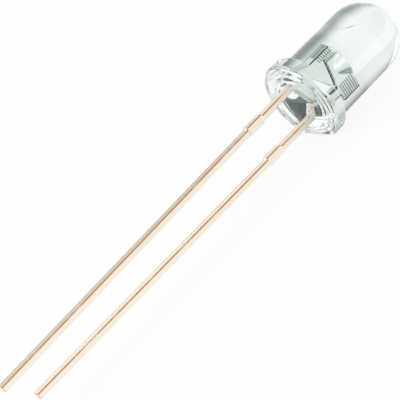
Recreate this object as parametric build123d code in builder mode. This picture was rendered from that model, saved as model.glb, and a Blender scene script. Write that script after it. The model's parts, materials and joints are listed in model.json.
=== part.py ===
"""Water-clear 5 mm infrared light-emitting diode with two straight leads.

The diode lies on the flat of its flange. X runs along the optical axis towards the dome, Y across the
stamped strip and Z up. The origin is on the axis, in the seating plane of the base, and the leads point
to -X. The anode is the upper and longer lead, the cathode the lower one beside the flat.
"""
import os
from math import cos, hypot, radians, sqrt, tan

from build123d import *

# Cast body
barrel_radius = 2.5
body_height = 9.0
flange_lip = 0.45  # how far the flange stands out from the barrel
flange_thickness = 1.0
flat_inset = 0.40  # how deep the flat is cut into the flange
base_chamfer = 0.16
dish_depth = 0.14  # the free surface of the casting sags between the leads
rim_width = 0.62  # flange edge to the dish
root_share = 0.60  # share of the lip in the hollow root of the flange
crest_share = 0.35  # share of the lip in the rounded crest of the flange

# Leads outside the body
lead_pitch = 2.54
lead_width = 0.40  # across the pair
strip_thickness = 0.50
lead_corner_radius = 0.05
anode_length = 26.0
cathode_length = 24.75
anode_toe_in = 0.41  # how far the tip leans towards the other lead
cathode_toe_in = 0.24
stub_start = 2.95  # base to the cut tie bar
stub_length = 1.36
stub_step = 0.11  # how far the cut tie bar stands out on each side
stub_thickness = 0.42

# Stamped shapes inside the body
jog_start = 0.55  # height where the leads turn towards the axis
jog_rise = 0.80
shoulder = 0.03  # the strip widens by this much where it turns
corner_radius = 0.07  # stamped corners
post_top = 3.70
post_outer = 1.18  # outer edge of the post from the axis
post_width = 0.33
foot_reach = 0.37  # how far the foot of the post passes the axis
foot_depth = 0.30
anvil_top = 3.80
anvil_outer = 1.15
anvil_inner = 0.60  # how far the anvil passes the axis
anvil_depth = 1.60
stem_width = 0.34
frame_gap = 0.17  # cut between the two stamped shapes
underside_slope = radians(26.5)

# Grooves across both faces of the strip that key it into the casting
groove_pitch = 0.19
groove_depth = 0.05
groove_edge = 0.17  # end of a field to its first groove
anvil_groove_length = 0.60

# Reflector cup on the optical axis
cup_depth = 0.36
cup_floor_radius = 0.27
cup_mouth_radius = 0.47
cup_wall = 0.15
cone_height = 1.25
cone_tip_radius = 0.18

# Die, its glue and its wire
die_size = 0.30
die_height = 0.18
die_bevel = 0.02
glue_thickness = 0.02
glue_climb = 0.05  # how far the glue climbs the sides of the die
glue_spread = 0.03  # glue past the corners of the die
wire_diameter = 0.03
wire_sides = 6  # few faces on so fine a wire
wire_rise = 0.42  # top of the loop above the die
wire_drop = 0.12  # fall of the loop before it turns down to the post
wire_bend = 0.12
wire_elbow_share = 0.78  # share of the span where the loop turns down
ball_radius = 0.05
ball_height = 0.03
stitch_radius = 0.05
stitch_height = 0.015

overrun = 0.5  # cuts run past what they cut

# Body heights and radii that follow
flange_radius = barrel_radius + flange_lip
flat_distance = flange_radius - flat_inset
dome_start = body_height - barrel_radius
dish_radius = flange_radius - rim_width
rim_radius = flange_radius - base_chamfer
crest_start = flange_thickness - flange_lip * crest_share
crest_inner = flange_radius - flange_lip * crest_share
root_outer = barrel_radius + flange_lip * root_share
root_end = flange_thickness + flange_lip * root_share

# Strip edges that follow, as distances from the axis
half_pitch = lead_pitch / 2
half_strip = strip_thickness / 2
turn_inner = half_pitch - lead_width / 2 - shoulder
turn_outer = half_pitch + lead_width / 2 + shoulder
post_inner = post_outer - post_width
stem_inner = foot_reach + frame_gap
stem_outer = stem_inner + stem_width

# Strip heights that follow: the foot runs along the underside of the anvil
jog_end = jog_start + jog_rise
anvil_bottom = anvil_top - anvil_depth
underside_rise = (stem_inner + anvil_inner) * tan(underside_slope)
gap_rise = frame_gap / cos(underside_slope)
foot_low = anvil_bottom + frame_gap * tan(underside_slope) - gap_rise
foot_high = foot_low + (foot_reach + post_inner) * tan(underside_slope)

# Cup, die and wire heights that follow
cup_floor = anvil_top - cup_depth
cone_radius = cup_mouth_radius + cup_wall
die_base = cup_floor + glue_thickness
die_top = die_base + die_height
loop_top = die_top + wire_rise
post_middle = post_outer - post_width / 2


def lead_section(side, length, toe_in, distance):
    """The plane across a lead at a distance below the base, facing along the lead to the body."""
    tip = Vector(-length, 0, side * (half_pitch - toe_in))
    root = Vector(0, 0, side * half_pitch)
    along = (root - tip).normalized()
    return Plane(origin=root - along * distance, x_dir=(0, 1, 0), z_dir=along)


def draw_leg(side, length, toe_in):
    """Extrude a leg from its cut tip into the body, with the stub of its tie bar."""
    run = hypot(length, toe_in)
    with BuildSketch(lead_section(side, length, toe_in, run)) as leg:
        RectangleRounded(strip_thickness, lead_width, lead_corner_radius)
    extrude(leg.sketch, amount=run + jog_start + shoulder / 2)
    with BuildSketch(lead_section(side, length, toe_in, stub_start + stub_length)) as stub:
        Rectangle(stub_thickness, lead_width + stub_step * 2)
    extrude(stub.sketch, amount=stub_length)


def draw_strip(outline):
    """Extrude a stamped outline of height and offset pairs by the strip's thickness."""
    with BuildSketch(Plane.XZ) as strip:
        with BuildLine():
            Polyline(*outline, close=True)
        make_face()
        stamped = vertices().filter_by_position(Axis.X, jog_end, anvil_top)
        fillet(stamped, corner_radius)
    extrude(strip.sketch, amount=half_strip, both=True)


def cut_grooves(low, high, start, length):
    """Cut a field of grooves, between two heights, across both faces of the strip."""
    count = int((high - low - groove_edge * 2) / groove_pitch) + 1
    middle = (low + high) / 2
    side = groove_depth * sqrt(2)
    with BuildSketch(Plane.XY.offset(start)) as grooves:
        with Locations((middle, half_strip), (middle, -half_strip)):
            with GridLocations(groove_pitch, groove_pitch, count, 1):
                Rectangle(side, side, rotation=45)
    extrude(grooves.sketch, amount=length, mode=Mode.SUBTRACT)


# Anode: leg, stub, post and the foot that runs under the anvil
with BuildPart() as anode_lead:
    draw_leg(1, anode_length, anode_toe_in)
    draw_strip(
        [
            (jog_start, turn_inner),
            (jog_start, turn_outer),
            (jog_end, post_outer),
            (post_top, post_outer),
            (post_top, post_inner),
            (foot_high, post_inner),
            (foot_low, -foot_reach),
            (foot_low - foot_depth, -foot_reach),
        ]
    )
    cut_grooves(anvil_bottom, post_top, post_inner, post_width + overrun)

# Cathode: leg, stub, stem and the anvil with its coined cup
with BuildPart() as cathode_lead:
    draw_leg(-1, cathode_length, cathode_toe_in)
    draw_strip(
        [
            (jog_start, -turn_inner),
            (jog_end, -stem_inner),
            (anvil_bottom, -stem_inner),
            (anvil_bottom + underside_rise, anvil_inner),
            (anvil_top, anvil_inner),
            (anvil_top, -anvil_outer),
            (anvil_bottom, -anvil_outer),
            (anvil_bottom, -stem_outer),
            (jog_end, -stem_outer),
            (jog_start, -turn_outer),
        ]
    )
    cut_grooves(anvil_bottom, anvil_top, -anvil_outer - overrun, anvil_groove_length + overrun)
    with BuildSketch():
        with BuildLine():
            Polyline(
                (anvil_top - cone_height, 0),
                (anvil_top - cone_height, cone_tip_radius),
                (anvil_top, cone_radius),
                (anvil_top, 0),
                close=True,
            )
        make_face()
    revolve(axis=Axis.X)
    with BuildSketch():
        with BuildLine():
            Polyline(
                (cup_floor, 0),
                (cup_floor, cup_floor_radius),
                (anvil_top, cup_mouth_radius),
                (anvil_top + overrun, cup_mouth_radius),
                (anvil_top + overrun, 0),
                close=True,
            )
        make_face()
    revolve(axis=Axis.X, mode=Mode.SUBTRACT)

# Die: a sawn cube with its upper edges bevelled
with BuildPart() as emitter_die:
    with BuildSketch(Plane.YZ.offset(die_base)):
        Rectangle(die_size, die_size)
    extrude(amount=die_height)
    chamfer(emitter_die.faces().sort_by(Axis.X)[-1].edges(), die_bevel)

# Glue: a low mound that the die is pressed into
with BuildPart() as die_attach:
    with BuildSketch():
        with BuildLine():
            Polyline(
                (cup_floor, 0),
                (cup_floor, die_size / sqrt(2) + glue_spread),
                (die_base + glue_climb, die_size / 2),
                (die_base + glue_climb, 0),
                close=True,
            )
        make_face()
    revolve(axis=Axis.X)
    add(emitter_die.part, mode=Mode.SUBTRACT)

# Wire: ball on the die, loop over the rim of the cup, stitch on the post
with BuildPart() as bond_wire:
    with BuildLine(Plane.XZ) as loop:
        FilletPolyline(
            (die_top, 0),
            (loop_top, 0),
            (loop_top - wire_drop, post_middle * wire_elbow_share),
            (post_top + wire_diameter / 2, post_middle),
            radius=wire_bend,
        )
    with BuildSketch(Plane.YZ.offset(die_top)):
        RegularPolygon(wire_diameter / 2, wire_sides)
    sweep(path=loop.wires()[0])
    with BuildSketch(Plane.YZ.offset(die_top)):
        Circle(ball_radius)
    extrude(amount=ball_height)
    with BuildSketch(Plane.YZ.offset(post_top)):
        with Locations((0, post_middle)):
            Circle(stitch_radius)
    extrude(amount=stitch_height)

# Body: base dish, flange with its flat, barrel and dome, cast round everything inside it
with BuildPart() as lens_body:
    with BuildSketch():
        with BuildLine():
            TangentArc((dish_depth, 0), (0, dish_radius), tangent=(0, 1))
            Line((0, dish_radius), (0, rim_radius))
            Line((0, rim_radius), (base_chamfer, flange_radius))
            Line((base_chamfer, flange_radius), (crest_start, flange_radius))
            TangentArc((crest_start, flange_radius), (flange_thickness, crest_inner), tangent=(1, 0))
            Line((flange_thickness, crest_inner), (flange_thickness, root_outer))
            TangentArc((flange_thickness, root_outer), (root_end, barrel_radius), tangent=(0, -1))
            Line((root_end, barrel_radius), (dome_start, barrel_radius))
            TangentArc((dome_start, barrel_radius), (body_height, 0), tangent=(1, 0))
            Line((body_height, 0), (dish_depth, 0))
        make_face()
    revolve(axis=Axis.X)
    with BuildSketch(Plane.XY.offset(-flat_distance)):
        Rectangle((root_end + overrun) * 2, flange_radius * 2)
    extrude(amount=-flat_inset - overrun, mode=Mode.SUBTRACT)
    add([anode_lead.part, cathode_lead.part], mode=Mode.SUBTRACT)
    add([emitter_die.part, die_attach.part, bond_wire.part], mode=Mode.SUBTRACT)

pieces = {
    "lens_body": lens_body,
    "anode_lead": anode_lead,
    "cathode_lead": cathode_lead,
    "emitter_die": emitter_die,
    "die_attach": die_attach,
    "bond_wire": bond_wire,
}
os.makedirs("parts", exist_ok=True)
for name, piece in pieces.items():
    piece.part.label = name
    export_step(piece.part, f"parts/{name}.step")
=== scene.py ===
"""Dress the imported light-emitting diode: clear cast lens, plated leads, die, glue and wire, on a plain stage.

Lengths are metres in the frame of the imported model: X along the optical axis towards the dome, Y across the
stamped strip, Z up. The diode lies on the flat of its flange and its leads point to -X.
"""
import json
from math import cos, radians, sin

import bpy
import numpy as np
from bpy.props import FloatProperty, FloatVectorProperty, PointerProperty
from bpy.types import Operator, Panel, PropertyGroup
from mathutils import Matrix, Vector


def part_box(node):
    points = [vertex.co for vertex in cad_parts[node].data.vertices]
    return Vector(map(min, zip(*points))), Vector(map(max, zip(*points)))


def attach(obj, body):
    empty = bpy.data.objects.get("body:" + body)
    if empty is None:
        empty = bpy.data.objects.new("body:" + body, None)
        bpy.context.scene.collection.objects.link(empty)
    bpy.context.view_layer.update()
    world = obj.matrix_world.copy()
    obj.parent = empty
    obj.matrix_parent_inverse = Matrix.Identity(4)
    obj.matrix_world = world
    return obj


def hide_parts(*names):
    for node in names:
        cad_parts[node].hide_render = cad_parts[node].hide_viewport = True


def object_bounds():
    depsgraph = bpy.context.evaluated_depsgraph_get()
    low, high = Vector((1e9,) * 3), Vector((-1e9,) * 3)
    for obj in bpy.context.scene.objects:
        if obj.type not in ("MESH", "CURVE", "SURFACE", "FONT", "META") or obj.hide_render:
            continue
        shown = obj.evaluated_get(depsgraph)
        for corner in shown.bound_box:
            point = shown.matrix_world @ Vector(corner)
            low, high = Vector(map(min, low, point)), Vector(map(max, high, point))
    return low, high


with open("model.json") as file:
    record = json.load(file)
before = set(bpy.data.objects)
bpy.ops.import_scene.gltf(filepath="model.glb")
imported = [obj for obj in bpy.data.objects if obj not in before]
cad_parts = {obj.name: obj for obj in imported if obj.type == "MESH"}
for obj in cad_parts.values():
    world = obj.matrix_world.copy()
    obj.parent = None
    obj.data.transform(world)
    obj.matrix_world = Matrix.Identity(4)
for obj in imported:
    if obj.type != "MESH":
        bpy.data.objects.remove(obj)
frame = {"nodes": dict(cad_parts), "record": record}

bl_info = {
    "name": "Clear Light-Emitting Diode",
    "version": (1, 0, 0),
    "blender": (4, 5, 0),
    "location": "View3D > Sidebar > Diode",
    "description": "Builds the looks of a water-clear diode around its packed solids",
    "category": "Object",
}

MM = 0.001
BODY = "root"

CAD_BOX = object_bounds()
LENS_LOW, LENS_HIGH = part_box("lens_body")
ANODE_LOW, ANODE_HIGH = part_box("anode_lead")
CATHODE_LOW, CATHODE_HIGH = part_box("cathode_lead")
DIE_LOW, DIE_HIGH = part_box("emitter_die")
GLUE_LOW, GLUE_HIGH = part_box("die_attach")
WIRE_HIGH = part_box("bond_wire")[1]
BARREL = next(mount for mount in frame["record"]["mounts"] if mount["name"] == "lens_barrel")


# Properties

def number(name, description, default, unit="NONE"):
    """A plain number property, or one with a unit."""
    return FloatProperty(name=name, description=description, default=default, unit=unit)


def length(name, description, default):
    """A length property, given in metres."""
    return FloatProperty(name=name, description=description, default=default, unit="LENGTH", precision=5)


def share(name, description, default):
    """A property from 0 to 1."""
    return FloatProperty(name=name, description=description, default=default, min=0, max=1, subtype="FACTOR")


def angle(name, description, degrees):
    """An angle property, given in degrees."""
    return FloatProperty(name=name, description=description, default=radians(degrees), subtype="ANGLE")


def colour(name, description, default):
    """A scene-linear colour property."""
    return FloatVectorProperty(name=name, description=description, default=default, min=0, max=1,
                               size=3, subtype="COLOR")


def direction(name, description, default):
    """A direction property."""
    return FloatVectorProperty(name=name, description=description, default=default, subtype="DIRECTION")


def position(name, description, default):
    """A property for a point in space, given in metres."""
    return FloatVectorProperty(name=name, description=description, default=default, subtype="TRANSLATION")


class LensSettings(PropertyGroup):
    """Sizes and tint of the cast body."""

    barrel_radius: length("Barrel radius", "Radius of the barrel and the dome", BARREL["dims"]["r_mm"] * MM)
    height: length("Height", "Seating plane to the top of the dome", LENS_HIGH.x)
    flange_radius: length("Flange radius", "Outer radius of the flange", LENS_HIGH.y)
    flat_distance: length("Flat distance", "Axis to the flat of the flange", -LENS_LOW.z)
    flange_thickness: length("Flange thickness", "Seating plane to the top of the flange", 1.0 * MM)
    base_round: length("Base round", "Radius of the edge round the base", 0.16 * MM)
    dish_depth: length("Dish depth", "How far the free surface sags", 0.14 * MM)
    rim_width: length("Rim width", "Flange edge to the dish", 0.62 * MM)
    crest_share: share("Crest share", "Share of the lip in the rounded crest", 0.38)
    root_share: share("Root share", "Share of the lip in the hollow root", 0.62)
    follow_start: share("Follow start", "Share of the radius where the base starts to follow the flat", 0.55)
    follow_full: share("Follow full", "Share of the radius where the base follows the flat fully", 0.90)
    creep_height: length("Creep height", "How far the resin climbs the leads", 0.28 * MM)
    creep_reach: length("Creep reach", "Distance over which the climb fades", 0.95 * MM)
    ripple_depth: length("Ripple depth", "Depth of the shrink rings round the leads", 0.004 * MM)
    ripple_pitch: length("Ripple pitch", "Distance between the shrink rings", 0.30 * MM)
    ripple_reach: length("Ripple reach", "Distance over which the shrink rings fade", 0.60 * MM)
    ring_start: length("Ring start", "Radius inside the rings of the free surface", 1.15 * MM)
    ring_pitch: length("Ring pitch", "Distance between those rings", 0.42 * MM)
    ring_depth: length("Ring depth", "Depth of those rings", 0.035 * MM)
    refraction: number("Refraction", "Refractive index of the resin", 1.54)
    light_pass: share("Light pass", "Share of lamp light that goes straight through to the inside", 0.7)
    tint: colour("Tint", "Colour of the clear resin", (0.96, 1.0, 0.985))
    haze: colour("Haze", "Colour of the cloudier streaks of the resin", (0.92, 0.965, 0.95))
    mark_start: length("Mark start", "Height where the fine mark on the barrel starts", 4.67 * MM)
    mark_length: length("Mark length", "Length of that mark along the axis", 1.05 * MM)
    mark_place: length("Mark place", "Way round the barrel from its top to the start of the mark", 1.12 * MM)
    mark_slope: number("Mark slope", "Slope of the mark at its start", 1.05)
    mark_end_share: share("Mark end share", "Slope at the end of the mark, as a share of that slope", 0.25)
    mark_width: length("Mark width", "Half width of the mark", 0.032 * MM)
    mark_colour: colour("Mark colour", "Shade of the mark", (0.05, 0.08, 0.075))


class LeadSettings(PropertyGroup):
    """Sizes and colours of the two stamped leads."""

    pitch: length("Pitch", "Distance between the leads at the base", 2.54 * MM)
    width: length("Width", "Width of a leg across the pair", 0.40 * MM)
    thickness: length("Thickness", "Thickness of the strip", ANODE_HIGH.y - ANODE_LOW.y)
    anode_toe_in: length("Anode toe-in", "How far the anode's tip leans inwards", 0.41 * MM)
    cathode_toe_in: length("Cathode toe-in", "How far the cathode's tip leans inwards", 0.24 * MM)
    edge_round: length("Edge round", "Radius of the worn edges", 0.045 * MM)
    # Also sets the width of the painted shade along the edges inside the body.
    edge_wear: length("Edge wear and shade", "Distance over which the wear fades from an edge", 0.025 * MM)
    inner_wear: share("Inner wear", "Share of that distance for the edges inside the body", 0.35)
    stub_start: length("Stub start", "Base to the cut tie bar", 2.95 * MM)
    stub_length: length("Stub length", "Length of the cut tie bar", 1.36 * MM)
    stub_step: length("Stub step", "How far the cut tie bar stands out", 0.11 * MM)
    stub_slope: length("Stub slope", "Length of the slope at each end of the tie bar", 0.066 * MM)
    stub_thickness: length("Stub thickness", "Thickness of the cut tie bar", 0.42 * MM)
    jog_start: length("Jog start", "Height where the leads turn inwards", 0.55 * MM)
    jog_rise: length("Jog rise", "Height of the turn", 0.80 * MM)
    turn_round: length("Turn round", "Radius of the anode's outer turn", 0.27 * MM)
    post_outer: length("Post outer", "Axis to the outer edge of the post", 1.18 * MM)
    post_width: length("Post width", "Width of the post", 0.33 * MM)
    foot_reach: length("Foot reach", "How far the foot passes the axis", 0.37 * MM)
    foot_depth: length("Foot depth", "Depth of the end of the foot", 0.30 * MM)
    foot_low: length("Foot low", "Height of the end of the foot", 2.095 * MM)
    foot_high: length("Foot high", "Height where the foot meets the post", 2.70 * MM)
    anvil_outer: length("Anvil outer", "Axis to the outer edge of the anvil", 1.15 * MM)
    anvil_inner: length("Anvil inner", "How far the anvil passes the axis", 0.60 * MM)
    anvil_bottom: length("Anvil bottom", "Height of the outer corner of the anvil", 2.20 * MM)
    anvil_step: length("Anvil step", "Height in which the strip widens from stem to anvil", 0.02 * MM)
    underside_rise: length("Underside rise", "Rise of the anvil's slanted underside", 0.568 * MM)
    stem_inner: length("Stem inner", "Axis to the inner edge of the stem", 0.54 * MM)
    stem_width: length("Stem width", "Width of the stem", 0.34 * MM)
    stamped_round: length("Stamped round", "Radius of the stamped corners", 0.09 * MM)
    groove_pitch: length("Groove pitch", "Distance between the keying grooves", 0.19 * MM)
    groove_depth: length("Groove depth", "Depth of the keying grooves", 0.05 * MM)
    groove_edge: length("Groove edge", "End of a field of grooves to its first groove", 0.17 * MM)
    groove_length: length("Groove length", "Length of the grooves on the anvil", 0.60 * MM)
    cone_height: length("Cone height", "Height of the coined cone", 1.25 * MM)
    cone_tip: length("Cone tip", "Radius of the foot of the cone", 0.18 * MM)
    cone_radius: length("Cone radius", "Radius of the top of the cone", CATHODE_HIGH.y)
    cup_depth: length("Cup depth", "Depth of the reflector cup", 0.36 * MM)
    cup_mouth: length("Cup mouth", "Radius of the mouth of the cup", 0.47 * MM)
    cup_floor: length("Cup floor", "Radius of the floor of the cup", 0.27 * MM)
    plating: colour("Plating", "Warm plating of the legs", (1.0, 0.93, 0.82))
    dull: colour("Dull plating", "Plating where it has dulled", (0.96, 0.86, 0.72))
    bare: colour("Bare edge", "Coppery metal that shows along the edges", (0.64, 0.31, 0.17))
    drag: colour("Drag", "Sheared side dulled by the tool", (0.74, 0.67, 0.58))
    side_dullness: share("Side dullness", "How much rougher the sheared sides are than the faces", 0.25)
    # Painted light: paler colour for the plating under the resin, below the silver.
    painted_light: colour("Painted light", "Plating under the resin, up to the silver", (1.0, 0.96, 0.91))
    painted_light_and_chip_fade: length("Film fade", "Distance over which that look fades out at its ends", 0.2 * MM)
    chip: colour("Chip", "Bare metal in small chips of the plating under the resin", (0.75, 0.38, 0.14))
    silver: colour("Silver spot", "Silver on the stamped shapes inside the body", (0.87, 0.92, 0.885))
    silver_slant: number("Silver slant", "Slope of the edge of the silver", 0.95)
    silver_crest: length("Silver crest", "Height across the pair above which that edge runs level", 0.4 * MM)
    silver_fade: length("Silver fade", "Distance over which the silver fades in", 0.2 * MM)
    silver_gloss: share("Silver gloss", "How much smoother the silver is than the plating", 0.16)
    # Sheared sides inside the body: dark, partly duller sheared steel and partly painted shade.
    sheared: colour("Sheared side", "Sheared sides of the strip inside the body", (0.07, 0.12, 0.10))
    post_dullness_and_shade: share("Post dullness", "How much of that colour the outer side of the post has", 0.6)
    break_start: number("Break start", "Place through the strip, from -1 to 1, where its break starts", -0.5)
    break_full: number("Break full", "Place through the strip where its rough break is full", -0.1)
    # Painted shade: dark colour in the grooves and along the edges inside the body.
    groove: colour("Groove", "Painted shade in the grooves and along edges inside the body", (0.10, 0.14, 0.125))
    inner_edge: share("Inner edge", "Strength of the dark edge on the anvil's inner side", 0.25)


class ChipSettings(PropertyGroup):
    """Sizes and colours of the die, its glue and its wire."""

    pad_radius: length("Pad radius", "Radius of the contact on the die", 0.065 * MM)
    pad_depth: length("Pad depth", "How far the contact reaches down from the top of the die", 0.005 * MM)
    glue_wrap: length("Glue wrap", "How far the glue climbs the die", 0.05 * MM)
    glue_tuck: share("Glue tuck", "Share of the die's half side where the glue ends under it", 0.98)
    wire_radius: length("Wire radius", "Radius of the bond wire", 0.015 * MM)
    wire_drop: length("Wire drop", "Fall of the loop before it turns down", 0.12 * MM)
    wire_bend: length("Wire bend", "Rounding of the loop", 0.20 * MM)
    wire_elbow: share("Wire elbow", "Share of the span where the loop turns down", 0.78)
    ball_radius: length("Ball radius", "Radius of the ball on the die", 0.05 * MM)
    stitch_width: length("Stitch width", "Half width of the flattened end", 0.045 * MM)
    stitch_thin: share("Stitch thin", "Share of the thickness that is pressed out there", 0.75)
    stitch_fade: length("Stitch fade", "Distance over which the flattening fades", 0.1 * MM)
    stitch_lead: length("Stitch lead", "Where the wire touches the post, before its middle", 0.05 * MM)
    stitch_reach: length("Stitch reach", "Where the wire ends, past the middle of the post", 0.075 * MM)
    stitch_rise: length("Stitch rise", "Height of the wire's end above the post", 0.0045 * MM)
    crystal: colour("Crystal", "Sawn semiconductor", (0.055, 0.05, 0.06))
    saw_mark: colour("Saw mark", "Paler marks of the saw", (0.121, 0.11, 0.132))
    contact: colour("Contact", "Metal contact on the die", (0.80, 0.52, 0.20))
    glue: colour("Glue", "Silver-filled glue", (0.62, 0.62, 0.60))
    flake: colour("Flake", "Paler flakes in the glue", (0.806, 0.806, 0.78))
    gold: colour("Gold", "Drawn gold wire", (0.95, 0.79, 0.50))
    deep_gold: colour("Deep gold", "Gold where it is less polished", (0.76, 0.632, 0.40))


class StageSettings(PropertyGroup):
    """Floor, light and camera."""

    floor_size: length("Floor size", "Side of the floor", 1.2)
    floor_white: share("Floor white", "Share of plain white in the floor where it is seen", 0.85)
    floor_colour: colour("Floor colour", "Pale floor", (0.82, 0.82, 0.82))
    shade_colour: colour("Contact shade", "Floor close to the body, as resin and metal show it",
                         (0.15, 0.21, 0.20))
    shade_shift: length("Shade shift", "How far the line of the shade lies from the axis, along Y", 0.6 * MM)
    shade_start: length("Shade start", "Where the line of the shade starts along the axis", 1.2 * MM)
    shade_core: length("Shade core", "Distance from its line within which the shade is full", 1.85 * MM)
    shade_reach: length("Shade reach", "Distance from its line at which the floor is white", 3.0 * MM)
    light_core: length("Light core", "Half width of the light that the body gathers in its shade", 0.55 * MM)
    light_reach: length("Light reach", "Distance from the line at which that light has faded", 1.4 * MM)
    light_share: share("Light share", "Brightness of that light beside the open floor", 0.7)
    sky_strength: number("Sky strength", "Light from all round", 0.65)
    lamp_size: length("Lamp size", "Side of each square lamp", 0.40)
    key_place: position("Key place", "Where the key lamp hangs", (-0.10, 0.12, 0.20))
    key_power: number("Key power", "Power of the key lamp", 0.48, "POWER")
    fill_place: position("Fill place", "Where the fill lamp hangs", (-0.05, -0.20, 0.15))
    fill_power: number("Fill power", "Power of the fill lamp", 0.29, "POWER")
    dark_side: direction("Dark side", "Direction of the unlit side of the room", (0.80, -0.55, 0.25))
    dark_core: angle("Dark core", "Angle within which the room is darkest", 16)
    dark_reach: angle("Dark reach", "Angle at which the room is white again", 46)
    dark_colour: colour("Dark colour", "The unlit side of the room", (0.012, 0.035, 0.03))
    wall_top: angle("Wall top", "Height angle at which the bright walls end", 12)
    ceiling: angle("Ceiling", "Height angle at which the ceiling is darkest", 50)
    wall_colour: colour("Wall colour", "Walls of the room, as resin and metal show them", (0.86, 0.87, 0.86))
    ceiling_colour: colour("Ceiling colour", "Ceiling, as resin and metal show it", (0.40, 0.44, 0.43))
    camera_place: position("Camera place", "Where the camera stands",
                           (-36.983 * MM, -60.113 * MM, 30.463 * MM))
    camera_right: direction("Camera right", "Direction to the picture's right", (0.6472, -0.5565, -0.5210))
    camera_up: direction("Camera up", "Direction to the picture's top", (0.6625, 0.0724, 0.7455))
    view_angle: angle("View angle", "Angle across the square picture", 18.92)


# Meshes

def skin(name, rings, marks=None, sharp=radians(40)):
    """A closed mesh over a stack of closed rings.

    Quads join each ring to the next, and a fan closes each end on the middle of its ring. The faces are
    turned outwards by the sign of the volume that they enclose. marks maps names to values at ring points.
    """
    count, around = rings.shape[:2]
    index = np.arange(count * around).reshape(count, around)
    following = np.roll(index, -1, axis=1)
    quads = np.stack([index[:-1], following[:-1], following[1:], index[1:]], axis=-1).reshape(-1, 4)
    first = np.stack([following[0], index[0], np.full(around, count * around)], axis=-1)
    last = np.stack([index[-1], following[-1], np.full(around, count * around + 1)], axis=-1)
    fans = np.concatenate([first, last])
    points = np.concatenate([rings.reshape(-1, 3), rings[:1].mean(axis=1), rings[-1:].mean(axis=1)])

    triangles = np.concatenate([quads[:, :3], quads[:, [0, 2, 3]], fans])
    a, b, c = points[triangles].transpose(1, 0, 2)
    if np.einsum("ij,ij->i", a, np.cross(b, c)).sum() < 0:
        quads = quads[:, ::-1]
        fans = fans[:, ::-1]

    mesh = bpy.data.meshes.new(name)
    corners = np.concatenate([quads.ravel(), fans.ravel()])
    starts = np.concatenate([np.arange(len(quads)) * 4, len(quads) * 4 + np.arange(len(fans)) * 3])
    mesh.vertices.add(len(points))
    mesh.vertices.foreach_set("co", points.ravel())
    mesh.loops.add(len(corners))
    mesh.loops.foreach_set("vertex_index", corners)
    mesh.polygons.add(len(starts))
    mesh.polygons.foreach_set("loop_start", starts)
    mesh.update(calc_edges=True)
    mesh.validate()
    mesh.polygons.foreach_set("use_smooth", np.ones(len(mesh.polygons), bool))
    mesh.set_sharp_from_angle(angle=sharp)
    for mark, values in (marks or {}).items():
        values = np.concatenate([values.ravel(), [values[0].mean(), values[-1].mean()]])
        mesh.attributes.new(mark, "FLOAT", "POINT").data.foreach_set("value", values)
    piece = bpy.data.objects.new(name, mesh)
    bpy.context.scene.collection.objects.link(piece)
    return piece


def dress(piece, node, material):
    """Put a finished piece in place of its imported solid."""
    piece.data.materials.append(material)
    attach(piece, BODY)
    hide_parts(node)


def repaint(node, material):
    """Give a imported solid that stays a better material."""
    piece = frame["nodes"][node]
    piece.data.materials.clear()
    piece.data.materials.append(material)


def full_turn(count):
    """Evenly spaced angles once round."""
    return np.linspace(0, 2 * np.pi, count, endpoint=False)


def about_axis(x, radius, turn):
    """Points at heights x and at a radius from the axis, at angles that start below it."""
    return np.stack(np.broadcast_arrays(x, radius * np.sin(turn), -radius * np.cos(turn)), axis=-1)


def round_corners(corners, radius, steps=7):
    """A path through corners, each inner one replaced by a parabola.

    The parabola starts and ends at radius from the corner, or at half of a shorter run, and has the corner as
    its control point.
    """
    points = np.asarray(corners, float)
    runs = np.diff(points, axis=0)
    lengths = np.linalg.norm(runs, axis=1, keepdims=True)
    units = runs / lengths
    reach = np.minimum(radius, lengths / 2)
    cut = np.minimum(reach[:-1], reach[1:])
    middle = points[1:-1, None]
    before = middle - (units[:-1] * cut)[:, None]
    after = middle + (units[1:] * cut)[:, None]
    t = np.linspace(0, 1, steps)[None, :, None]
    arcs = (1 - t) ** 2 * before + 2 * t * (1 - t) * middle + t ** 2 * after
    return np.concatenate([points[:1], arcs.reshape(-1, points.shape[1]), points[-1:]])


def soft_max(a, b, blend):
    """The larger of two arrays, with the corner where they cross rounded over blend."""
    return (a + b + np.sqrt((a - b) ** 2 + blend ** 2)) / 2


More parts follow.
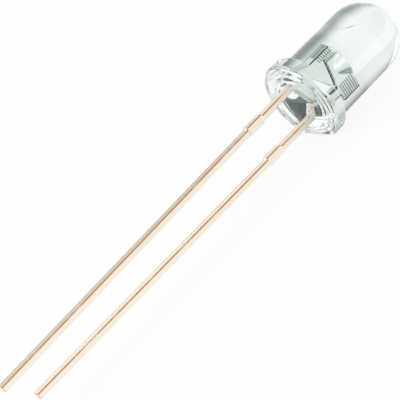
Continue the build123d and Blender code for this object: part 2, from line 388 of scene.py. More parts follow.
def lens_rings(s, leads, around=360, free=170, flat_power=150, sag_power=1.5, growth=2, pole=0.005):
    """Rings of the cast body: its half section turned about X, cut by the flat.

    The half section runs from the sagged middle of the base over the rim, the base round, the flange, the
    crest and the hollow root to the barrel and the half sphere of the dome. The sag falls from the middle as
    (1 - (r / dish)^2)^sag_power. A radius r at angle a from the flat becomes r (1 + (r cos a / f)^p)^(-1/p),
    with f the distance of the flat and p the flat_power, so the flat has a slightly soft edge. Inside the rim
    the base follows the flat less and less.

    The resin climbs each lead by a height that fades as exp(-(distance / reach)^2). Shallow shrink rings, as
    the square of a sine, run round the leads and round the outer part of the base. Those of the base reach
    their full depth after a number of rings, growth. The mesh has a number of rings, free, in the base, and
    pole is the smallest of them as a share of the largest.
    """
    lip = s.flange_radius - s.barrel_radius
    crest = lip * s.crest_share
    root = lip * s.root_share
    dish = s.flange_radius - s.rim_width
    rim = s.flange_radius - s.base_round
    dome = s.height - s.barrel_radius
    quarter = np.linspace(0, np.pi / 2, 13)[1:]
    rise, fall = np.sin(quarter), 1 - np.cos(quarter)
    dome_turn = np.linspace(0, np.pi / 2, 61)[1:-1]

    r_free = np.linspace(pole, 1, free) * rim
    sag = s.dish_depth * np.maximum(1 - (r_free / dish) ** 2, 0) ** sag_power
    passed = np.clip((r_free - s.ring_start) / s.ring_pitch, 0, None)
    shrink = s.ring_depth * np.sin(np.pi * passed) ** 2 * np.minimum(passed / growth, 1)
    base = [
        (sag + shrink, r_free),
        (s.base_round * fall, rim + s.base_round * rise),
    ]
    side = [
        (np.linspace(s.base_round, s.flange_thickness - crest, 5)[1:], np.full(4, s.flange_radius)),
        (s.flange_thickness - crest * (1 - rise), s.flange_radius - crest * fall),
        (s.flange_thickness + root * fall, s.barrel_radius + root * (1 - rise)),
        (np.linspace(s.flange_thickness + root, dome, 7)[1:], np.full(6, s.barrel_radius)),
        (dome + s.barrel_radius * np.sin(dome_turn), s.barrel_radius * np.cos(dome_turn)),
    ]
    x_base, r_base = (np.concatenate(part)[:, None] for part in zip(*base))
    x_side, r_side = (np.concatenate(part)[:, None] for part in zip(*side))

    turn = full_turn(around)
    flat = np.maximum(np.cos(turn), 0) / s.flat_distance
    rim_cut = (1 + (s.flange_radius * flat) ** flat_power) ** (-1 / flat_power)
    side_cut = (1 + (r_side * flat) ** flat_power) ** (-1 / flat_power)
    follow = (r_base / s.flange_radius - s.follow_start) / (s.follow_full - s.follow_start)
    follow = np.clip(follow, 0, 1)
    follow = follow ** 2 * (3 - 2 * follow)
    base_rings = about_axis(x_base, r_base * (1 + follow * (rim_cut - 1)), turn)
    side_rings = about_axis(x_side, r_side * side_cut, turn)

    off_y = np.maximum(np.abs(base_rings[..., 1]) - leads.thickness / 2, 0)
    off_z = np.maximum(np.abs(np.abs(base_rings[..., 2]) - leads.pitch / 2) - leads.width / 2, 0)
    off = np.hypot(off_y, off_z)
    climb = s.creep_height * np.exp(-(off / s.creep_reach) ** 2)
    ripple = s.ripple_depth * np.sin(np.pi * off / s.ripple_pitch) ** 2 * np.exp(-off / s.ripple_reach)
    base_rings[..., 0] += ripple - climb
    return np.concatenate([base_rings, side_rings])


def strip_ring(face=56, edge=8, corner=6):
    """One turn round a rounded rectangle of unit half sides.

    The results are the share across, the share through, and the angle at which the corner round points.
    """
    across = -np.cos(np.linspace(0, np.pi, face))
    through = np.linspace(-1, 1, edge + 2)[1:-1]
    turn = np.linspace(0, np.pi / 2, corner + 2)[1:-1]
    ones_face, ones_edge, ones_corner = np.ones(face), np.ones(edge), np.ones(corner)
    a = [across, ones_corner, ones_edge, ones_corner, -across, -ones_corner, -ones_edge, -ones_corner]
    b = [-ones_face, -ones_corner, through, ones_corner, ones_face, ones_corner, -through, -ones_corner]
    way = [np.full(face, -np.pi / 2), turn - np.pi / 2, np.zeros(edge), turn, np.full(face, np.pi / 2),
           turn + np.pi / 2, np.full(edge, np.pi), turn + np.pi]
    return np.concatenate(a), np.concatenate(b), np.concatenate(way)


def strip_stations(s, tip, top):
    """Heights at which a lead's section is worked out: close together at ends, stub, turn and grooves.

    Each run has its two ends and its number of heights.
    """
    bend = s.edge_round * (1 - np.cos(np.linspace(0, np.pi / 2, 7)))
    stub_end = -s.stub_start - s.stub_length
    half_step = s.stub_step / 2
    runs = (
        (tip + s.edge_round, stub_end - s.stub_step, 40),
        (stub_end - half_step, stub_end + half_step, 9),
        (stub_end + s.stub_step, -s.stub_start - s.stub_step, 6),
        (-s.stub_start - half_step, -s.stub_start + half_step, 9),
        (-s.stub_start + s.stub_step, s.jog_start - s.stamped_round, 8),
        (s.jog_start - s.stamped_round, top - s.edge_round, 255),
    )
    return np.unique(np.concatenate([tip + bend, *(np.linspace(*run) for run in runs), top - bend]))


def grooves(s, x, low, high):
    """Depth of the V grooves at heights x: evenly pitched about the middle between low and high."""
    half_count = int((high - low - s.groove_edge * 2) / s.groove_pitch) / 2
    step = (x - (low + high) / 2) / s.groove_pitch + half_count
    nearest = np.clip(np.round(step), 0, 2 * half_count)
    return np.maximum(s.groove_depth - np.abs(step - nearest) * s.groove_pitch, 0)


def stub_share(s, x):
    """From 0 on the leg to 1 on the cut tie bar, with a short slope about each of its ends."""
    middle = -s.stub_start - s.stub_length / 2
    return np.clip((s.stub_length / 2 - np.abs(x - middle)) / s.stub_slope + 1 / 2, 0, 1)


def strip_rings(s, x, inner, outer, grooved):
    """Rings of a lead: a rounded rectangle carried along X between an inner and an outer edge line.

    Each section lies across X. Its faces are half the strip's thickness from the middle, less the depth that
    grooved(x, z) gives, and both ends are rounded by the edge round. The second result has marks from 0 to 1.
    Edge is for worn edges outside the body and painted shade along edges inside it, as exp(-(distance /
    reach)^2): both ends, the upper edges outside the body, which fade out towards the base, and all edges
    inside it. Side and shear are for the sheared sides, and groove for the painted shade in the grooves.
    """
    across, through, way = strip_ring()
    stub = stub_share(s, x)
    half = (s.thickness + (s.stub_thickness - s.thickness) * stub) / 2
    wide = np.abs(outer - inner) / 2 + s.stub_step * stub
    corner = s.edge_round
    to_end = np.minimum(x - x[0], x[-1] - x)
    inset = corner - np.sqrt(corner ** 2 - np.clip(corner - to_end, 0, corner) ** 2)
    flat_wide = (wide - corner - inset)[:, None]
    flat_half = (half - corner - inset)[:, None]
    z = (inner + outer)[:, None] / 2 + across * flat_wide + corner * np.cos(way)
    y = through * flat_half + corner * np.sin(way)
    depth = grooved(x[:, None], z)
    y = np.sign(y) * np.minimum(np.abs(y), (half - inset)[:, None] - depth)
    rings = np.stack(np.broadcast_arrays(x[:, None], y, z), axis=-1)

    inside = np.clip((x - s.jog_start - s.jog_rise) / (s.jog_rise / 2), 0, 1)[:, None]
    dry = np.clip(-x / (s.stub_start / 2), 0, 1)[:, None]
    reach = s.edge_wear * (1 - (1 - s.inner_wear) * inside)
    off_edge = np.maximum((1 - np.abs(across)) * flat_wide, (1 - np.abs(through)) * flat_half)
    # Worn edges outside the body; inside it the same mark carries painted shade along every edge.
    worn = np.exp(-(off_edge / reach) ** 2) * np.maximum(dry * (across > 0), inside)
    worn_end = np.exp(-(to_end[:, None] / reach) ** 2)
    sides = np.broadcast_to(np.cos(way) ** 2, y.shape)
    return rings, {
        "edge": np.maximum(worn, worn_end),
        "shear": sides,
        "groove": depth / s.groove_depth * (1 - sides),
        "side": sides,
    }


def leg_line(s, side, tip, toe_in):
    """Tip and top of the middle line of a leg, as heights and places across the pair."""
    half_pitch = s.pitch / 2
    lean = toe_in / -tip
    return (tip, side * (half_pitch - toe_in)), (s.jog_start, side * (half_pitch + lean * s.jog_start))


def edge_line(x, leg, shift, corners, radius):
    """Places at heights x of an edge that runs at a shift beside a leg, and on over rounded corners."""
    path = round_corners([(height, place + shift) for height, place in leg] + corners, radius)
    return np.interp(x, *path.T)


def anode_rings(s):
    """Rings and marks of the anode: leg, stub, the foot towards the axis, and the post.

    The shear mark stays on the leg beyond the stub, and on the outer side of the post, where it fades towards
    both faces of the strip. On the post it brings a dark colour that is partly duller sheared steel and partly
    painted shade.
    """
    tip, top = ANODE_LOW.x, ANODE_HIGH.x
    x = strip_stations(s, tip, top)
    leg = leg_line(s, 1, tip, s.anode_toe_in)
    post_inner = s.post_outer - s.post_width
    inner = edge_line(x, leg, -s.width / 2, [
        (s.foot_low - s.foot_depth, -s.foot_reach),
        (s.foot_low, -s.foot_reach),
        (s.foot_high, post_inner),
        (top, post_inner),
    ], s.stamped_round)
    outer = edge_line(x, leg, s.width / 2, [
        (s.jog_start + s.jog_rise, s.post_outer),
        (top, s.post_outer),
    ], s.turn_round)

    def grooved(height, z):
        return grooves(s, height, s.anvil_bottom, top) * (z > post_inner - s.edge_round)

    rings, marks = strip_rings(s, x, inner, outer, grooved)
    beyond_stub = np.clip((-x - s.stub_start) / (s.stub_length * 2), 0, 1)[:, None]
    # The outer side of the post takes part of that dark colour, partly duller steel and partly painted shade.
    post = np.clip((x - s.anvil_bottom) / s.groove_pitch, 0, 1)[:, None] * s.post_dullness_and_shade
    outer_side = rings[..., 2] > post_inner + s.post_width / 2
    through = strip_ring()[1]
    marks["shear"] = marks["shear"] * (beyond_stub + post * (1 - through ** 2) * outer_side)
    return rings, marks


def cathode_rings(s):
    """Rings and marks of the cathode: leg, stub, stem, and the anvil with its coined cone.

    The cone is round, so at a height with cone radius c the faces stand out to sqrt(c^2 - z^2). The shear
    mark stays on the break of the sides along the anvil's underside, and on the stem's sides outside it; there
    it brings a dark colour that is partly duller sheared steel and partly painted shade.
    """
    tip, top = CATHODE_LOW.x, CATHODE_HIGH.x
    x = strip_stations(s, tip, top)
    leg = leg_line(s, -1, tip, s.cathode_toe_in)
    jog_end = s.jog_start + s.jog_rise
    stem_outer = s.stem_inner + s.stem_width
    inner = edge_line(x, leg, s.width / 2, [
        (jog_end, -s.stem_inner),
        (s.anvil_bottom, -s.stem_inner),
        (s.anvil_bottom + s.underside_rise, s.anvil_inner),
        (top, s.anvil_inner),
    ], s.stamped_round)
    outer = edge_line(x, leg, -s.width / 2, [
        (jog_end, -stem_outer),
        (s.anvil_bottom - s.anvil_step, -stem_outer),
        (s.anvil_bottom, -s.anvil_outer),
        (top, -s.anvil_outer),
    ], s.stamped_round)
    cone = np.interp(x, [top - s.cone_height, top], [s.cone_tip, s.cone_radius], left=0)
    inner = np.where(cone > 0, np.maximum(inner, cone), inner)

    def grooved(height, z):
        return grooves(s, height, s.anvil_bottom, top) * (z < s.groove_length - s.anvil_outer)

    rings, marks = strip_rings(s, x, inner, outer, grooved)
    y = rings[..., 1]
    chord = np.sqrt(np.maximum(cone[:, None] ** 2 - rings[..., 2] ** 2, 0))
    raised = np.where(chord > 0, soft_max(np.abs(y), chord, s.edge_round), np.abs(y))
    rings[..., 1] = np.sign(y) * raised

    on_anvil = (x > s.anvil_bottom)[:, None]
    underside = on_anvil & (x < s.anvil_bottom + s.underside_rise + s.stamped_round)[:, None]
    stem = (x > jog_end)[:, None] & ~on_anvil
    through = strip_ring()[1]
    broken = np.clip((through - s.break_start) / (s.break_full - s.break_start), 0, 1)
    marks["shear"] = marks["shear"] * (underside * broken + stem * (1 - broken))
    # The edges inside the body carry painted shade; on the anvil's inner side it is weaker.
    inner_side = rings[..., 2] > (inner + outer)[:, None] / 2
    marks["edge"] = marks["edge"] * np.where(inner_side & on_anvil, s.inner_edge, 1)
    return rings, marks


def end_rings(ring, shares=(0.3, 0.8)):
    """Rings that grow from the middle of a closed end ring towards it, in its own plane."""
    middle = ring.mean(axis=0)
    return middle + (ring - middle) * np.asarray(shares)[:, None, None]


def cup_rings(s, ring):
    """Rings from the top outline of the anvil over the rim of the cup, down its wall and onto its floor.

    The cup is round, so each outline point runs straight towards the axis to the circle of the mouth.
    """
    along = np.array([1, 0, 0])
    top = ring[:, 0].mean()
    turn = np.arctan2(ring[:, 1], ring[:, 2])
    circle = np.stack([np.zeros_like(turn), np.sin(turn), np.cos(turn)], axis=-1)
    mouth = along * top + circle * s.cup_mouth
    t = np.linspace(0, 1, 6)[1:, None, None]
    rim = ring * (1 - t) + mouth * t
    down = np.linspace(0, 1, 12)[1:, None, None]
    radius = s.cup_mouth + (s.cup_floor - s.cup_mouth) * down
    wall = circle * radius + along * (top - s.cup_depth * down)
    floor = wall[-1:] - circle * s.cup_floor / 2
    return np.concatenate([rim, wall, floor])


def wire_rings(s, leads, stations=160, around=16):
    """Rings of the bond wire: a circle carried along its loop, swollen to a ball and flattened to a stitch.

    At the die the radius swells to the ball's by a part that fades as exp(-(distance / ball radius)^4). At
    the post the circle widens across the loop and thins in its plane, by parts that fade as
    exp(-(distance / fade)^2).
    """
    middle = leads.post_outer - leads.post_width / 2
    post_top = ANODE_HIGH.x
    top = WIRE_HIGH.x - s.wire_radius
    path = round_corners([
        (DIE_HIGH.x, 0),
        (top, 0),
        (top - s.wire_drop, middle * s.wire_elbow),
        (post_top + s.wire_radius, middle - s.stitch_lead),
        (post_top + s.stitch_rise, middle + s.stitch_reach),
    ], s.wire_bend, steps=25)
    along = np.concatenate([[0], np.cumsum(np.linalg.norm(np.diff(path, axis=0), axis=1))])
    even = np.linspace(0, along[-1], stations)
    x, z = (np.interp(even, along, line) for line in path.T)
    ahead = np.stack([np.gradient(x), np.gradient(z)], axis=-1)
    ahead /= np.linalg.norm(ahead, axis=1, keepdims=True)
    ball = np.exp(-(even / s.ball_radius) ** 4)
    stitch = np.exp(-((along[-1] - even) / s.stitch_fade) ** 2)
    swell = s.wire_radius + (s.ball_radius - s.wire_radius) * ball
    thick = (swell * (1 - s.stitch_thin * stitch))[:, None]
    wide = (swell + (s.stitch_width - s.wire_radius) * stitch)[:, None]
    turn = full_turn(around)
    lift = thick * np.cos(turn)
    return np.stack([
        x[:, None] - ahead[:, 1:] * lift,
        wide * np.sin(turn),
        z[:, None] + ahead[:, :1] * lift,
    ], axis=-1)


def glue_rings(s, around=96, slope=14):
    """Rings of the glue: a hollow slope from a round edge up to the sides of the square die.

    With t from 1 at the edge to 0 at the die, the glue has climbed by (1 - t)^3 of its height. The first ring
    closes the bottom, and the last two lie under the die, just inside its sides.
    """
    turn = full_turn(around)
    half = (DIE_HIGH.y - DIE_LOW.y) / 2
    square = half / np.maximum(np.abs(np.cos(turn)), np.abs(np.sin(turn)))
    t = np.linspace(1, 0, slope)[:, None]
    outline = square + (GLUE_HIGH.y - square) * t
    under = square[None, :] * s.glue_tuck
    climb = (DIE_LOW.x + s.glue_wrap - GLUE_LOW.x) * (1 - t) ** 3
    x = np.concatenate([[[GLUE_LOW.x]], GLUE_LOW.x + climb, [[DIE_LOW.x], [DIE_LOW.x]]])
    radius = np.concatenate([outline[:1] / 2, outline, under, under / 2])
    return about_axis(x, radius, turn)


# Materials

class Web:
    """A node tree with short calls to add and join nodes."""

    def __init__(self, owner):
        """Start with an empty tree on a new material or world, or with the tree of a new group."""
        self.tree = owner
        if not isinstance(owner, bpy.types.NodeTree):
            owner.use_nodes = True
            self.tree = owner.node_tree
            self.tree.nodes.clear()

    def feed(self, sockets, values):
        """Link each value that is a socket to its input, and set the other inputs to their values."""
        for socket, value in zip(sockets, values):
            if isinstance(value, bpy.types.NodeSocket):
                self.tree.links.new(value, socket)
            elif socket.type == "RGBA":
                socket.default_value = (*value, 1)
            else:
                socket.default_value = value

    def add(self, kind, **values):
        """A new node; values are its own settings, or else what its sockets get, with _ for a space."""
        node = self.tree.nodes.new("ShaderNode" + kind)
        for name, value in values.items():
            if hasattr(node, name):
                setattr(node, name, value)
            else:
                self.feed([node.inputs[name.replace("_", " ")]], [value])
        return node

    def close(self, shader, kind="OutputMaterial"):
        """End the tree with a shader node."""
        self.add(kind, Surface=shader.outputs[0])

    def blend(self, share, first, second):
        """A mix of two shader nodes by a socket's value."""
        node = self.add("MixShader")
        self.feed(node.inputs, (share, first.outputs[0], second.outputs[0]))
        return node

    def mix(self, share, first, second):
        """A mix of two colours or colour sockets by a socket's value."""
        node = self.add("Mix", data_type="RGBA")
        self.feed((node.inputs[0], node.inputs[6], node.inputs[7]), (share, first, second))  # colour sockets
        return node.outputs[2]

    def math(self, operation, *values):
        """An arithmetic step on sockets or numbers."""
        node = self.add("Math", operation=operation)
        self.feed(node.inputs, values)
        return node.outputs[0]

    def distance(self, first, second):
        """The length of a run given along two axes."""
        squares = [self.math("POWER", run, 2.0) for run in (first, second)]
        return self.math("SQRT", self.math("ADD", *squares))

    def ramp(self, value, start, end, low=0.0, high=1.0, kind="LINEAR"):
        """From low to high while a value runs from start to end."""
        node = self.add("MapRange", interpolation_type=kind, Value=value)
        self.feed([node.inputs[name] for name in ("From Min", "From Max", "To Min", "To Max")],
                  (start, end, low, high))
        return node.outputs["Result"]

    def place(self, kind="Object"):
        """Texture coordinates."""
        return self.add("TexCoord").outputs[kind]

    def split(self, vector):
        """X, Y and Z of a vector."""
        return self.add("SeparateXYZ", Vector=vector).outputs

    def mark(self, name):
        """A mark that the mesh carries."""
        return self.add("Attribute", attribute_name=name).outputs["Fac"]

    def ray(self, kind):
        """1 for rays of a kind, and 0 for others."""
        return self.add("LightPath").outputs[f"Is {kind} Ray"]


def new_group(name, inputs, outputs):
    """A node group with named sockets, given as (name, kind); returns its web and its two end nodes."""
    tree = bpy.data.node_groups.new(name, "ShaderNodeTree")
    for label, kind in inputs:
        tree.interface.new_socket(label, in_out="INPUT", socket_type="NodeSocket" + kind)
    for label, kind in outputs:
        tree.interface.new_socket(label, in_out="OUTPUT", socket_type="NodeSocket" + kind)
    return Web(tree), tree.nodes.new("NodeGroupInput").outputs, tree.nodes.new("NodeGroupOutput").inputs


def grain_group():
    """Fine uneven grain: a value between Low and High, and the same grain as a height from 0 to 1."""
    web, given, result = new_group(
        "Fine grain",
        [("Vector", "Vector"), ("Scale", "Float"), ("Low", "Float"), ("High", "Float")],
        [("Value", "Float"), ("Height", "Float")],
    )
    noise = web.add("TexNoise", Vector=given["Vector"], Scale=given["Scale"], Detail=4.0, Roughness=0.6)
    height = noise.outputs["Fac"]
    value = web.ramp(height, start=0.3, end=0.7, low=given["Low"], high=given["High"])
    web.feed(result, (value, height))
    return web.tree


def edge_wear_and_shade_group():
    """Wear and painted shade: a colour turned to a second one by an edge mask that noise breaks up."""
    web, given, result = new_group(
        "Edge wear and shade",
        [("Edge", "Float"), ("Vector", "Vector"), ("Scale", "Float"),
         ("Surface", "Color"), ("Worn", "Color")],
        [("Color", "Color")],
    )
    noise = web.add("TexNoise", Vector=given["Vector"], Scale=given["Scale"], Detail=3.0, Roughness=0.55)
    broken = web.ramp(noise.outputs["Fac"], start=0.2, end=0.45)
    mask = web.math("MULTIPLY", given["Edge"], broken)
    web.feed(result, [web.mix(mask, given["Surface"], given["Worn"])])
    return web.tree


def group_once(name, build):
    """The node group of that name, built on first use."""
    return bpy.data.node_groups.get(name) or build()


def grain(web, vector, scale, low=0.0, high=1.0):
    """The outputs of the grain group in a material."""
    tree = group_once("Fine grain", grain_group)
    return web.add("Group", node_tree=tree, Vector=vector, Scale=scale, Low=low, High=high).outputs


def bump(web, grained, strength, distance):
    """The normal of a surface raised by a grain."""
    return web.add("Bump", Height=grained["Height"], Strength=strength, Distance=distance).outputs["Normal"]


def stretched(web, along):
    """Object coordinates scaled along X."""
    return web.add("Mapping", Vector=web.place(), Scale=(along, 1, 1)).outputs["Vector"]


def barrel_mark(web, s):
    """1 along a fine curved mark on the barrel, and 0 elsewhere.

    The way round the barrel is its radius times the angle from its top. The mark follows a parabola whose
    slope falls to a share of what it was over the length of the mark, and tapers from its middle to its ends.
    """
    x, y, z = web.split(web.place())
    along = web.math("SUBTRACT", x, s.mark_start)
    fall = web.math("MULTIPLY", along, (s.mark_end_share - 1) / (2 * s.mark_length))
    slope = web.math("MULTIPLY", web.math("ADD", fall, 1.0), s.mark_slope)
    line = web.math("MULTIPLY", along, slope)
    turn = web.math("ARCTAN2", web.math("MULTIPLY", y, -1.0), z)
    way = web.math("SUBTRACT", web.math("MULTIPLY", turn, s.barrel_radius), s.mark_place)
    off = web.math("ABSOLUTE", web.math("SUBTRACT", way, line))
    half = s.mark_length / 2
    off_middle = web.math("ABSOLUTE", web.math("SUBTRACT", along, half))
    taper = web.ramp(off_middle, 0.0, half, s.mark_width, 0.0)
    return web.math("LESS_THAN", off, taper)


def clear_resin(s):
    """Clear cast resin with a faint green-grey tint; most light for the inside goes straight through."""
    material = bpy.data.materials.new("Clear resin")
    web = Web(material)
    flow = stretched(web, along=0.35)
    streaks = grain(web, flow, scale=900)
    polish = grain(web, flow, scale=2600, high=0.03)
    resin = web.mix(streaks["Value"], s.tint, s.haze)
    shader = web.add(
        "BsdfPrincipled",
        Base_Color=web.mix(barrel_mark(web, s), resin, s.mark_colour),
        Roughness=polish["Value"],
        IOR=s.refraction,
        Transmission_Weight=1.0,
        Normal=bump(web, streaks, strength=0.015, distance=0.02 * MM),
    )
    passing = web.math("MULTIPLY", web.ray("Shadow"), s.light_pass)
    web.close(web.blend(passing, shader, web.add("BsdfTransparent")))
    return material


def warm_plating(s):
    """Warm plating with drawn streaks along the strip, silver on the stamped shapes inside the body.

    The silver starts at a slant across the pair, lower on the anode. Below it painted light makes the plating
    under the resin paler, with small chips up to the end of the turn. Edges are coppery outside; inside, they
    and the grooves are dark with painted shade. The sheared sides are duller than the faces, and inside the
    body they are dark, partly as duller sheared steel and partly as painted shade.
    """
    material = bpy.data.materials.new("Warm plating")
    web = Web(material)
    place = web.place()
    drawn = stretched(web, along=0.06)
    x, _, z = web.split(place)
    across = web.math("MINIMUM", z, s.silver_crest)
    slanted = web.math("ADD", x, web.math("MULTIPLY", across, s.silver_slant))
    silvered = web.ramp(slanted, s.jog_start, s.jog_start + s.silver_fade)

    jog_end = s.jog_start + s.jog_rise
    # Where painted light and the chips go: under the resin, below the silver.
    painted_light_and_chips = web.math("MULTIPLY", web.ramp(x, -s.painted_light_and_chip_fade, 0.0), web.math("SUBTRACT", 1.0, silvered))
    turned = web.ramp(x, jog_end, jog_end - s.painted_light_and_chip_fade)
    spots = web.ramp(grain(web, place, scale=8000)["Value"], start=0.62, end=0.72)
    chips = web.math("MULTIPLY", spots, web.math("MULTIPLY", turned, painted_light_and_chips))

    shear = web.mark("shear")
    warm = web.mix(grain(web, drawn, scale=2500)["Value"], s.plating, s.dull)
    # Painted light makes the plating under the resin paler.
    warm = web.mix(painted_light_and_chips, warm, s.painted_light)
    warm = web.mix(chips, warm, s.chip)
    warm = web.mix(shear, warm, s.drag)
    # Inside the body the sheared sides are dark: partly duller sheared steel, partly painted shade.
    silver = web.mix(shear, s.silver, s.sheared)
    # Painted shade in the grooves.
    silver = web.mix(web.mark("groove"), silver, s.groove)
    wear = web.add(
        "Group",
        node_tree=group_once("Edge wear and shade", edge_wear_and_shade_group),
        Edge=web.mark("edge"),
        Vector=place,
        Scale=700,
        Surface=web.mix(silvered, warm, silver),
        # Along the edges inside the body the second colour is painted shade.
        Worn=web.mix(silvered, s.bare, s.groove),
    )
    streaks = grain(web, drawn, scale=22000, low=0.42, high=0.52)
    rough = web.math("ADD", streaks["Value"], web.math("MULTIPLY", web.mark("side"), s.side_dullness))
    shader = web.add(
        "BsdfPrincipled",
        Base_Color=wear.outputs["Color"],
        Metallic=1.0,
        Roughness=web.math("SUBTRACT", rough, web.math("MULTIPLY", silvered, s.silver_gloss)),
        Normal=bump(web, streaks, strength=0.1, distance=0.004 * MM),
    )
    web.close(shader)
    return material


def sawn_crystal(s):
    """Dark sawn semiconductor with a round metal contact on top."""
    material = bpy.data.materials.new("Sawn crystal")
    web = Web(material)
    x, y, z = web.split(web.place())
    within = web.math("LESS_THAN", web.distance(y, z), s.pad_radius)
    on_top = web.math("GREATER_THAN", x, DIE_HIGH.x - s.pad_depth)
    pad = web.math("MULTIPLY", within, on_top)
    saw = grain(web, stretched(web, along=0.2), scale=40000, low=0.15, high=0.45)
    sawn = web.mix(saw["Value"], s.crystal, s.saw_mark)
    shader = web.add(
        "BsdfPrincipled",
        Base_Color=web.mix(pad, sawn, s.contact),
        Metallic=pad,
        Roughness=saw["Value"],
        IOR=2.2,
        Normal=bump(web, saw, strength=0.3, distance=0.002 * MM),
    )
    web.close(shader)
    return material


def silver_glue(s):
    """Cured silver-filled glue: dull metal with coarse flakes."""
    material = bpy.data.materials.new("Silver glue")
    web = Web(material)
    flakes = grain(web, web.place(), scale=60000, low=0.35, high=0.65)
    shader = web.add(
        "BsdfPrincipled",
        Base_Color=web.mix(flakes["Height"], s.glue, s.flake),
        Metallic=0.8,
        Roughness=flakes["Value"],
        Normal=bump(web, flakes, strength=0.5, distance=0.004 * MM),
    )
    web.close(shader)
    return material


def drawn_gold(s):
    """Drawn gold with fine uneven polish."""
    material = bpy.data.materials.new("Drawn gold")
    web = Web(material)
    polish = grain(web, web.place(), scale=30000, low=0.15, high=0.3)
    shader = web.add(
        "BsdfPrincipled",
        Base_Color=web.mix(polish["Height"], s.gold, s.deep_gold),
        Metallic=1.0,
        Roughness=polish["Value"],
    )
    web.close(shader)
    return material


def seen_rays(web):
    """1 for rays that show the background: straight to the camera, in metal, or through resin."""
    shown = web.math("MAXIMUM", web.ray("Camera"), web.ray("Glossy"))
    return web.math("MAXIMUM", shown, web.ray("Transmission"))


def pale_floor(s):
    """Pale floor, mostly plain white where it is seen, the rest lit so that it keeps the shadow.

    Resin and metal also show the soft contact shade of the body. It lies along a line beside the body's axis,
    and runs to plain white with the distance from that line. Down its middle goes a band of light that the
    body gathers.
    """
    material = bpy.data.materials.new("Pale floor")
    web = Web(material)
    x, y, _ = web.split(web.place())
    past = web.math("MAXIMUM", web.math("SUBTRACT", s.shade_start, x), web.math("SUBTRACT", x, LENS_HIGH.x))
    aside = web.math("SUBTRACT", y, s.shade_shift)
    off = web.distance(web.math("MAXIMUM", past, 0.0), aside)
    clear = web.ramp(off, s.shade_core, s.shade_reach, kind="SMOOTHSTEP")
    off_middle = web.math("ABSOLUTE", aside)
    gathered = web.ramp(off_middle, s.light_core, s.light_reach, s.light_share, 0.0, kind="SMOOTHSTEP")
    bright = web.math("MAXIMUM", web.math("MAXIMUM", clear, gathered), web.ray("Camera"))
    lit = web.add("BsdfDiffuse", Color=s.floor_colour)
    white = web.add("Emission", Color=web.mix(bright, s.shade_colour, (1, 1, 1)))
    web.close(web.blend(web.math("MULTIPLY", seen_rays(web), s.floor_white), lit, white))
    return material


# Operators

class DIODE_OT_lens(Operator):
    """Build the clear cast body in place of its solid"""

    bl_idname = "diode.lens"
    bl_label = "Clear Lens"

    def execute(self, context):
        s = context.scene.diode_lens
        rings = lens_rings(s, context.scene.diode_leads)
        dress(skin("clear_lens", rings), "lens_body", clear_resin(s))
        return {"FINISHED"}


class DIODE_OT_leads(Operator):
    """Build the two stamped and plated leads in place of their solids"""

    bl_idname = "diode.leads"
    bl_label = "Plated Leads"

    def execute(self, context):
        s = context.scene.diode_leads
        plating = warm_plating(s)
        for name, node, build in (
            ("plated_anode", "anode_lead", anode_rings),
            ("plated_cathode", "cathode_lead", cathode_rings),
        ):
            rings, marks = build(s)
            foot = end_rings(rings[0])
            head = cup_rings(s, rings[-1]) if node == "cathode_lead" else end_rings(rings[-1])[::-1]
            unmarked = (len(foot), len(head)), (0, 0)
            marks = {mark: np.pad(values, unmarked) for mark, values in marks.items()}
            piece = skin(name, np.concatenate([foot, rings, head]), marks, sharp=radians(35))
            dress(piece, node, plating)
        return {"FINISHED"}


class DIODE_OT_chip(Operator):
    """Finish the die and build its glue and its wire"""

    bl_idname = "diode.chip"
    bl_label = "Die, Glue and Wire"

    def execute(self, context):
        s = context.scene.diode_chip
        repaint("emitter_die", sawn_crystal(s))
        dress(skin("glue_mound", glue_rings(s)), "die_attach", silver_glue(s))
        wire = skin("gold_wire", wire_rings(s, context.scene.diode_leads))
        dress(wire, "bond_wire", drawn_gold(s))
        return {"FINISHED"}


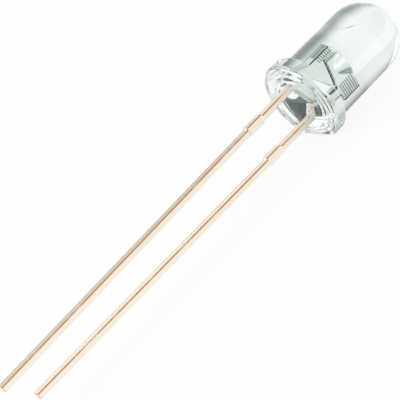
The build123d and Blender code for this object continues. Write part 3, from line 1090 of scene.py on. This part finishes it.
class DIODE_OT_stage(Operator):
    """Set the floor, the light and the camera"""

    bl_idname = "diode.stage"
    bl_label = "Stage"

    def execute(self, context):
        s = context.scene.diode_stage
        scene = context.scene
        scene.view_settings.view_transform = "Standard"
        scene.cycles.max_bounces = 24
        scene.cycles.glossy_bounces = 16
        scene.cycles.transmission_bounces = 24
        self.lay_floor(scene, s)
        self.light_room(scene, s)
        self.hang_lamps(scene, s)
        self.set_camera(scene, s)
        return {"FINISHED"}

    def lay_floor(self, scene, s):
        """Lay a square floor under the part."""
        half = s.floor_size / 2
        low = CAD_BOX[0][2]
        mesh = bpy.data.meshes.new("floor")
        corners = [(-half, -half, low), (half, -half, low), (half, half, low), (-half, half, low)]
        mesh.from_pydata(corners, [], [(0, 1, 2, 3)])
        floor = bpy.data.objects.new("floor", mesh)
        mesh.materials.append(pale_floor(s))
        scene.collection.objects.link(floor)

    def light_room(self, scene, s):
        """Light the scene from all round, with a white background and a room that resin and metal show."""
        scene.world = bpy.data.worlds.new("Studio")
        web = Web(scene.world)
        way = web.place("Generated")
        facing = web.add("VectorMath", operation="DOT_PRODUCT")
        web.feed(facing.inputs, (way, Vector(s.dark_side).normalized()))
        unlit = web.ramp(facing.outputs["Value"], cos(s.dark_reach), cos(s.dark_core), kind="SMOOTHSTEP")
        overhead = web.ramp(web.split(way)[2], sin(s.wall_top), sin(s.ceiling), kind="SMOOTHSTEP")
        room = web.mix(overhead, s.wall_colour, s.ceiling_colour)
        room = web.mix(unlit, room, s.dark_colour)
        soft = web.add("Background", Color=(1, 1, 1), Strength=s.sky_strength)
        seen = web.add("Background", Color=web.mix(web.ray("Camera"), room, (1, 1, 1)), Strength=1.0)
        web.close(web.blend(seen_rays(web), soft, seen), "OutputWorld")

    def hang_lamps(self, scene, s):
        """Hang two square lamps that face the origin."""
        for name, place, power in (("key", s.key_place, s.key_power), ("fill", s.fill_place, s.fill_power)):
            lamp = bpy.data.lights.new(name, "AREA")
            lamp.size = s.lamp_size
            lamp.energy = power
            holder = bpy.data.objects.new(name, lamp)
            holder.location = place
            holder.rotation_euler = (-Vector(place)).to_track_quat("-Z", "Y").to_euler()
            scene.collection.objects.link(holder)

    def set_camera(self, scene, s):
        """Stand the camera at its place, square to its right and up directions."""
        right = Vector(s.camera_right).normalized()
        up = Vector(s.camera_up)
        up = (up - right * up.dot(right)).normalized()
        turn = Matrix((right, up, right.cross(up))).transposed()
        view = bpy.data.cameras.new("camera")
        view.sensor_fit = "HORIZONTAL"
        view.angle = s.view_angle
        view.clip_start = 1 * MM
        camera = bpy.data.objects.new("camera", view)
        camera.matrix_world = Matrix.Translation(s.camera_place) @ turn.to_4x4()
        scene.collection.objects.link(camera)
        scene.camera = camera


class DIODE_PT_panel(Panel):
    """Lists the steps that build the diode"""

    bl_idname = "DIODE_PT_panel"
    bl_label = "Diode"
    bl_space_type = "VIEW_3D"
    bl_region_type = "UI"
    bl_category = "Diode"

    def draw(self, context):
        for operator in OPERATORS:
            self.layout.operator(operator.bl_idname)


OPERATORS = (DIODE_OT_lens, DIODE_OT_leads, DIODE_OT_chip, DIODE_OT_stage)
SETTINGS = {
    "diode_lens": LensSettings,
    "diode_leads": LeadSettings,
    "diode_chip": ChipSettings,
    "diode_stage": StageSettings,
}


def register():
    for group in SETTINGS.values():
        bpy.utils.register_class(group)
    for name, group in SETTINGS.items():
        setattr(bpy.types.Scene, name, PointerProperty(type=group))
    for kind in (*OPERATORS, DIODE_PT_panel):
        bpy.utils.register_class(kind)


def unregister():
    for kind in reversed((*OPERATORS, DIODE_PT_panel)):
        bpy.utils.unregister_class(kind)
    for name, group in SETTINGS.items():
        delattr(bpy.types.Scene, name)
        bpy.utils.unregister_class(group)


def main():
    """Build every piece and the stage."""
    register()
    bpy.ops.diode.lens()
    bpy.ops.diode.leads()
    bpy.ops.diode.chip()
    bpy.ops.diode.stage()


if __name__ == "__main__":
    main()
